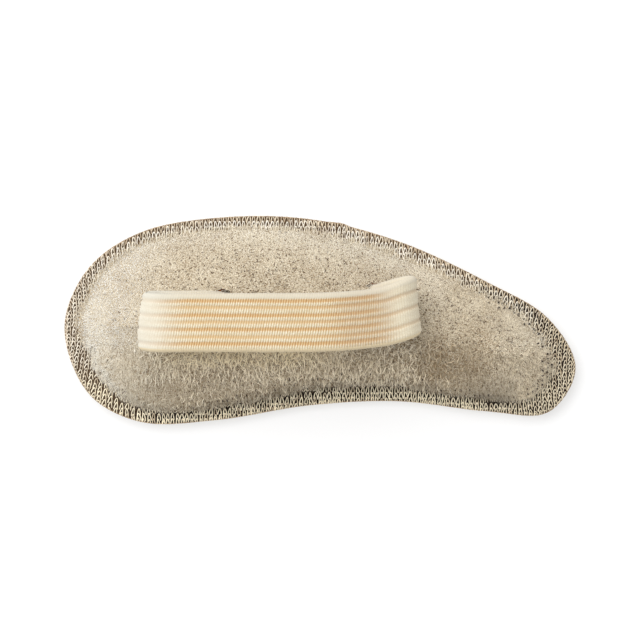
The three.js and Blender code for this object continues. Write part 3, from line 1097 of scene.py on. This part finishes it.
def makeKnitTree():
    shape = knitShape
    tree, given = newShapeTree(
        "rimKnit", "skin loop", "yarn overEdge drawnFrom drawnTo tipWidth tipHeight", "seed")
    position = put(tree, "GeometryNodeInputPosition")
    skin = shapeOf(given.skin)
    hit = putNode(tree, "GeometryNodeRaycast", {"data_type": "FLOAT_VECTOR"}, targetGeometry=skin,
                  attribute=namedVector(tree, "knitGuide"), rayDirection=(0, 0, -1),
                  rayLength=shape["rayLength"] * mm,
                  sourcePosition=vectors("ADD", position, (0.0, 0.0, shape["rayFrom"] * mm)))
    nearest = putNode(tree, "GeometryNodeProximity", {"target_element": "FACES"}, samplePosition=position)
    feed(nearest.inputs[0], skin)
    closest, away = out(nearest, "Position"), out(nearest, "Distance")
    overhang = maths("LESS_THAN", out(hit, "Is Hit"), 0.5)
    jitter = shape["jitter"] * mm
    stray = randomValue((-jitter, -jitter, 0.0), (jitter, jitter, 0.0), given.seed)
    spots = moved(given.geometry, offset=stray)
    spots = moved(spots, selection=overhang * maths("LESS_THAN", away, given.overEdge),
                  position=scaled(closest, shape["inside"]))
    spots = keep(spots, "guideHere", out(hit, "Attribute"), "FLOAT_VECTOR")
    spots = keep(spots, "onSkin", out(hit, "Is Hit") * 1.0)
    guide = putNode(tree, "ShaderNodeSeparateXYZ", vector=namedVector(tree, "guideHere"))
    napHere, edgeHere = out(guide, "X"), out(guide, "Y")
    covered = maths("GREATER_THAN", napHere, randomValue(shape["napFrom"], 1.0, given.seed + 1))
    missed = maths("LESS_THAN", named(tree, "onSkin"), 0.5)
    spots = without(spots, maths("GREATER_THAN", covered + missed, 0.5))
    spots = keep(keep(spots, "edgeHere", edgeHere), "napHere", napHere)
    offX = maths("ABSOLUTE", out(putNode(tree, "ShaderNodeSeparateXYZ", vector=position), "X"))
    spots = keep(spots, "drawn", fade(offX, given.drawnFrom, given.drawnTo))
    spots = moved(spots, position=out(hit, "Hit Position"))
    lean = named(tree, "lean") + randomValue(-shape["sway"], shape["sway"], given.seed + 4)
    turn = put(tree, "FunctionNodeAxesToRotation", {"primary_axis": "Z", "secondary_axis": "Y"},
               primaryAxis=out(hit, "Hit Normal"), secondaryAxis=joined(lean, 1.0))
    line = put(tree, "GeometryNodeMeshToCurve", mesh=shapeOf(given.loop))
    strand = put(tree, "GeometryNodeCurvePrimitiveCircle", resolution=shape["yarnSides"], radius=given.yarn)
    stitch = put(tree, "GeometryNodeCurveToMesh", curve=line, profileCurve=strand, fillCaps=True)
    size = randomValue(shape["smallest"], shape["largest"], given.seed + 2)
    drawn = named(tree, "drawn")
    stretch = joined(drawn * (given.tipWidth - 1.0) + 1.0, drawn * (given.tipHeight - 1.0) + 1.0,
                     1.0 - napHere * shape["napFlatten"])
    loops = placedOn(spots, stitch, turn, vectors("MULTIPLY", size, stretch))
    loops = keep(loops, "strand", randomValue(0.0, 1.0, given.seed + 3), domain="INSTANCE")
    loops = put(tree, "GeometryNodeRealizeInstances", geometry=loops)
    outward = vectors("MULTIPLY", vectors("SUBTRACT", position, closest), (1.0, 1.0, 0.0))
    outward = scaled(vectors("NORMALIZE", outward), shape["lap"] * mm)
    bent = vectors("ADD", vectors("ADD", closest, joined(0.0, 0.0, away * -shape["sink"])), outward)
    return endTree(moved(loops, selection=overhang, position=bent), given.material, True)


yarnLook = {
    "base": clothTone((240, 232, 214), (208, 193, 163), 0.12, 4.0, 0.5),
    "tan": tint(202, 174, 130), "brown": tint(150, 112, 82), "backInnerHighlight": tint(255, 249, 237),
    "leftPale": tint(246, 237, 222), "frontPale": tint(252, 240, 211), "rightDeep": tint(216, 203, 178),
    "matted": tint(222, 212, 192), "dull": tint(150, 122, 92), "oneSide": tint(142, 120, 86),
    "sideShare": 0.12, "backSideShare": 0.15, "sideFrom": -0.1, "sideTo": 0.7,   # shade on each right leg
    "bump": 0.02,
}
yarnAreas = {   # places and inset in mm; strand: a loop's tone
    "tan": [("inset", 1, 0.2, 0, 0.55)], "brown": [("inset", 0.4, 0.1, 0, 0.25)],
    "back": [("y", 2, 12)], "upperRight": [("x", 26, 32), ("y", -3, 2, 0, 0.7)],
    # painted highlight: paler loops along the rim's inner side at the back, where the dome's foot faces the
    # light
    "backInnerHighlight": [("inset", 0.5, 1.2, 0.25, 0.9)],
    "leftPale": [("x", -30, -39, 0, 0.6)], "frontPale": [("y", -6, -12, 0, 0.85)],
    "rightDeep": [("x", 22, 38, 0, 0.7), ("y", 4, -4, 0.2, 1)],
    "matted": [("nap", 0.1, 0.8)], "dull": [("strand", 0.25, 0, 0, 0.5)],
    "tipSide": [("offX", 30, 36, 0, 0.25)],
}


def makeYarnMaterial():
    material, tree, shader, place = newMaterial("rimYarn", 0.8, 0.1)
    look = yarnLook
    area = areasOf({**spotOf(place), "inset": valueOn(tree, "edgeHere") / mm,
                    "nap": valueOn(tree, "napHere"), "strand": valueOn(tree, "strand")}, yarnAreas)
    back = highest(area["back"], area["upperRight"])
    sideShare = back * look["backSideShare"] + look["sideShare"] + area["tipSide"]
    area["backInnerHighlight"] = back * area["backInnerHighlight"]
    area["oneSide"] = fade(valueOn(tree, "leg"), look["sideFrom"], look["sideTo"], 0.0, sideShare)
    yarn, height = useYarnTone(place, look["base"])
    order = ("tan", "brown", "backInnerHighlight", "leftPale", "frontPale", "rightDeep", "matted", "dull", "oneSide")
    feed(shader["Base Color"], layered(yarn, {name: area[name] for name in order}, look))
    addBump(shader, height, look["bump"])
    return material


def stitchSpots():
    # where the loops stand in mm, and how far each leans
    shape = knitShape
    drawn = lambda x: fadeIn(*shape["drawn"], abs(x))
    pitch = lambda x, middle, tip: shape[middle] + (shape[tip] - shape[middle]) * drawn(x)
    columns = [0.0]
    while columns[-1] < cadHigh.x / mm + 1:
        columns.append(columns[-1] + pitch(columns[-1], "wale", "tipWale"))
    columns = [-x for x in columns[:0:-1]] + columns
    half = int((cadHigh.y - cadLow.y) / mm / shape["course"])
    spots, leans = [], []
    for x in columns:
        bow = shape["bow"] * fadeIn(*shape["bowOver"], abs(x)) * np.sign(x)
        for j in range(-half, half):
            y = j * pitch(x, "course", "tipCourse")
            fromMiddle = y - shape["bowMiddle"][int(x > 0)]
            spots.append((x + bow * fromMiddle ** 2, y))
            leans.append(2 * bow * fromMiddle)
    return spots, leans


stitches, stitchLeans = stitchSpots()


def makeRimKnit():
    shape = knitShape
    grid = addPiece("rimKnit", [(x * mm, y * mm, rimTop) for x, y in stitches])
    setValues(grid, "lean", stitchLeans)
    loop = addLine("loopLine", np.array(shape["loop"]) * mm)
    setValues(loop, "leg", [x / shape["loop"][-1][0] for x, y, z in shape["loop"]])   # -1 left, 1 right
    drawnFrom, drawnTo = [x * mm for x in shape["drawn"]]
    knit = runTree(
        grid, makeKnitTree(), skin=coverSkin, loop=loop, yarn=shape["yarn"] * mm,
        overEdge=shape["course"] / 2 * mm, drawnFrom=drawnFrom, drawnTo=drawnTo,
        tipWidth=shape["tipWale"] / shape["wale"], tipHeight=shape["tipCourse"] / shape["course"],
        seed=shape["seed"], material=makeYarnMaterial())
    dropPiece(loop)
    return knit


rimKnit = makeRimKnit()
print("rim knit", len(rimKnit.data.polygons), "faces")


# Gaps between the stitches that still show as dark dots through the edge of the nap

gapShape = {
    "width": (0.17, 0.29), "height": 0.36, "longer": 1.3, "stray": 0.2, "up": 0.1, "seed": 11, "tone": -1.6,
    "sides": 6, "foot": -0.3, "top": 0.9,
    "within": 0.5, "pastRim": 0.5, "fade": (0.8, 3.3),                        # mm past the bare rim
    "front": (-2, -6), "frontFrom": (-26, -16), "rightTip": (22, 32),         # where they show, y, x and x
}


def makeGapTree():
    tree, given = newShapeTree("rimGaps", "dot")
    turn = put(tree, "FunctionNodeAlignRotationToVector", {"axis": "Z"}, vector=namedVector(tree, "outward"))
    dots = placedOn(given.geometry, shapeOf(given.dot), turn, namedVector(tree, "size"))
    return endTree(keep(dots, "strand", gapShape["tone"], domain="INSTANCE"), given.material, False)


def makeDot():
    sides = gapShape["sides"]
    turns = [fullTurn * s / sides for s in range(sides)]
    ring = [(0.5 * math.cos(turn), 0.5 * math.sin(turn)) for turn in turns]
    points = [(x, y, gapShape["foot"]) for x, y in ring]
    points += [(gapShape["top"] * x, gapShape["top"] * y, 1.0) for x, y in ring]
    dot = addPiece("gapDot", points, tubeFaces(2, sides))
    setValues(dot, "tip", [1.0] * len(points))
    return dot


def makeRimGaps():
    shape = gapShape
    chance = np.random.default_rng(shape["seed"])
    skinPoints = pointsOf(coverSkin)
    pastRim = valuesOf(coverSkin, "pastRim")
    finder = kdtree.KDTree(len(skinPoints))
    for i, p in enumerate(skinPoints):
        finder.insert((p[0], p[1], 0), i)
    finder.balance()
    places, outward, sizes = [], [], []
    for x, y in np.array(stitches) + (knitShape["wale"] / 2, shape["up"]):
        found, i, away = finder.find((x * mm, y * mm, 0))
        if away > shape["within"] * mm or pastRim[i] < shape["pastRim"]:
            continue
        atFront = fadeIn(*shape["front"], y) * fadeIn(*shape["frontFrom"], x)
        plain = max(atFront, fadeIn(*shape["rightTip"], x))
        shown = plain * (1 - fadeIn(*shape["fade"], pastRim[i]))
        draw = chance.random(3)
        if draw[0] > shown:
            continue
        width = shape["width"][0] + (shape["width"][1] - shape["width"][0]) * draw[1]
        places.append(((x + (draw[2] - 0.5) * shape["stray"]) * mm, y * mm, skinPoints[i][2]))
        outward.append(coverSkin.data.vertices[i].normal)
        sizes.append((width * mm, width * shape["longer"] * mm, shape["height"] * mm))
    grid = addPiece("rimGaps", places)
    setValues(grid, "outward", outward)
    setValues(grid, "size", sizes)
    dot = makeDot()
    gaps = runTree(grid, makeGapTree(), dot=dot, material=napMaterial)
    dropPiece(dot)
    return gaps


rimGaps = makeRimGaps()
print("rim gaps", len(rimGaps.data.polygons), "faces")


# Foam core, hidden inside

foamShape = {
    "clearOfRim": 1.5, "clearOfCover": 0.5, "routeSteps": 300,
    "tailsBelow": 12.5, "besideTail": 1.1, "underTail": 0.35, "alongTail": 0.5,   # room for the tails
    "tone": clothTone((214, 190, 148), (188, 160, 116), 0.4, 7.0, 0.4),
    "cell": 0.5, "bump": 0.2,
}


def makeFoamMaterial():
    material, tree, shader, place = newMaterial("paleFoam", 0.95)
    feed(shader["Base Color"], useYarnTone(place, foamShape["tone"])[0])
    cells = put(tree, "ShaderNodeTexVoronoi", vector=place, scale=1 / (foamShape["cell"] * mm))
    addBump(shader, cells, foamShape["bump"])
    return material


def makeFoam():
    shape = foamShape
    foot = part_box("padding")[0].z
    core = skinMesh("foamCore", domeSkin(foot, spokes["rim"] + shape["clearOfRim"] * mm,
                                         spokes["crown"] - shape["clearOfCover"] * mm))
    points = pointsOf(core)
    line = elasticFrames(np.linspace(0, 1, shape["routeSteps"]))[0]
    tails = line[line[:, 2] < shape["tailsBelow"] * mm]
    for p in points:
        near = tails[np.abs(tails[:, 0] - p[0]) < shape["alongTail"] * mm]
        if len(near) and abs(p[1]) < (elasticShape["width"] / 2 + shape["besideTail"]) * mm:
            p[2] = min(p[2], near[:, 2].min() - (elasticShape["thickness"] / 2 + shape["underTail"]) * mm)
    movePoints(core, points)
    work = bmesh.new()
    work.from_mesh(core.data)
    rim = [e for e in work.edges if e.is_boundary]
    bmesh.ops.contextual_create(work, geom=rim)   # closes the flat underside
    work.to_mesh(core.data)
    work.free()
    core.data.update()
    core.data.materials.append(makeFoamMaterial())
    return core


foamCore = makeFoam()


# Under layer, pressed up to the cover all round

underShape = {
    "gap": 0.04, "bend": 0.15, "flatFrom": 0.6,
    "tone": clothTone((206, 190, 156), (168, 146, 110), 0.35, 6.0, 0.4),
    "groove": tint(112, 92, 66), "grooveFade": (0.35, 0.0, 0.0, 0.7),
    "wavePitch": 0.314,                       # a wave texture at scale 1 repeats every 0.314 units
    "unevenSize": 1.5, "uneven": 0.8, "rungShare": 0.6, "fleckBump": 0.3, "bump": 0.12,
}


def makeBackingMaterial():
    material, tree, shader, place = newMaterial("backingKnit", 0.9)
    shape = underShape
    colour, height = useYarnTone(place, shape["tone"])
    wave = lambda axis, pitch: put(
        tree, "ShaderNodeTexWave", {"bands_direction": axis}, vector=place,
        scale=shape["wavePitch"] / (pitch * mm), distortion=1.0, detail=1.0, detailScale=1.0)
    ribs, rungs = wave("X", knitShape["wale"]), wave("Y", knitShape["course"])
    onEdge = valueOn(tree, "onEdge")
    uneven = noiseAt(place, shape["unevenSize"] * mm, 2.0) * shape["uneven"]
    turns = uneven + valueOn(tree, "run") / (knitShape["wale"] * mm)
    edgeRibs = maths("SINE", turns * fullTurn) * 0.5 + 0.5
    ribs = onEdge * (edgeRibs - ribs) + ribs
    loops = ribs * (highest(rungs, onEdge) * shape["rungShare"] + (1 - shape["rungShare"]))
    feed(shader["Base Color"], blendColours(fade(loops, *shape["grooveFade"]), colour, shape["groove"]))
    addBump(shader, loops + height * shape["fleckBump"], shape["bump"])
    return material


def makeUnderLayer():
    count = padShape["spokes"]
    top, bottom = coverLow.z - underShape["gap"] * mm, baseLow.z
    bend, flat = underShape["bend"] * mm, underShape["flatFrom"] * mm
    section = [(flat, top), (bend, top), (0.0, top - bend),
               (0.0, bottom + bend), (bend, bottom), (flat, bottom)]
    rows = [ringPoints(np.full(count, inset), z) for inset, z in section]
    layer = addPiece("underLayer", np.vstack(rows), tubeFaces(len(rows), count))
    stepLengths = np.linalg.norm(np.roll(spokes["edge"], -1, 0) - spokes["edge"], axis=1)
    run = np.concatenate([[0], np.cumsum(stepLengths)])
    wale = knitShape["wale"] * mm
    run *= round(run[-1] / wale) * wale / run[-1]   # whole ribs all round
    bands = range(len(rows) - 1)
    runs = [run[s + far] for r in bands for s in range(count) for far in (0, 1, 1, 0)]
    edges = [float(0 < r < len(rows) - 2) for r in bands for corner in range(count * 4)]
    for name, values in (("run", runs), ("onEdge", edges)):
        setValues(layer, name, values + [0.0] * (2 * count), "CORNER")
    layer.data.materials.append(makeBackingMaterial())
    return layer


underLayer = makeUnderLayer()
print("core and under layer made")

dropPiece(coverSkin)

# What each piece stands for and moves with
for piece, slot, node in [
    (paddedCover, "knit", "top_cover"), (foamCore, "foam", "padding"), (underLayer, "backing", "base_cover"),
    (elasticLoop, "elastic", "toe_loop"), (underNap, "knit", None), (overNap, "knit", None),
    (longNap, "knit", None), (speckNap, "knit", None), (rimKnit, "knit", None), (rimGaps, "knit", None),
]:
    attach(piece, "root")
    if node:
        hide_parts(node)
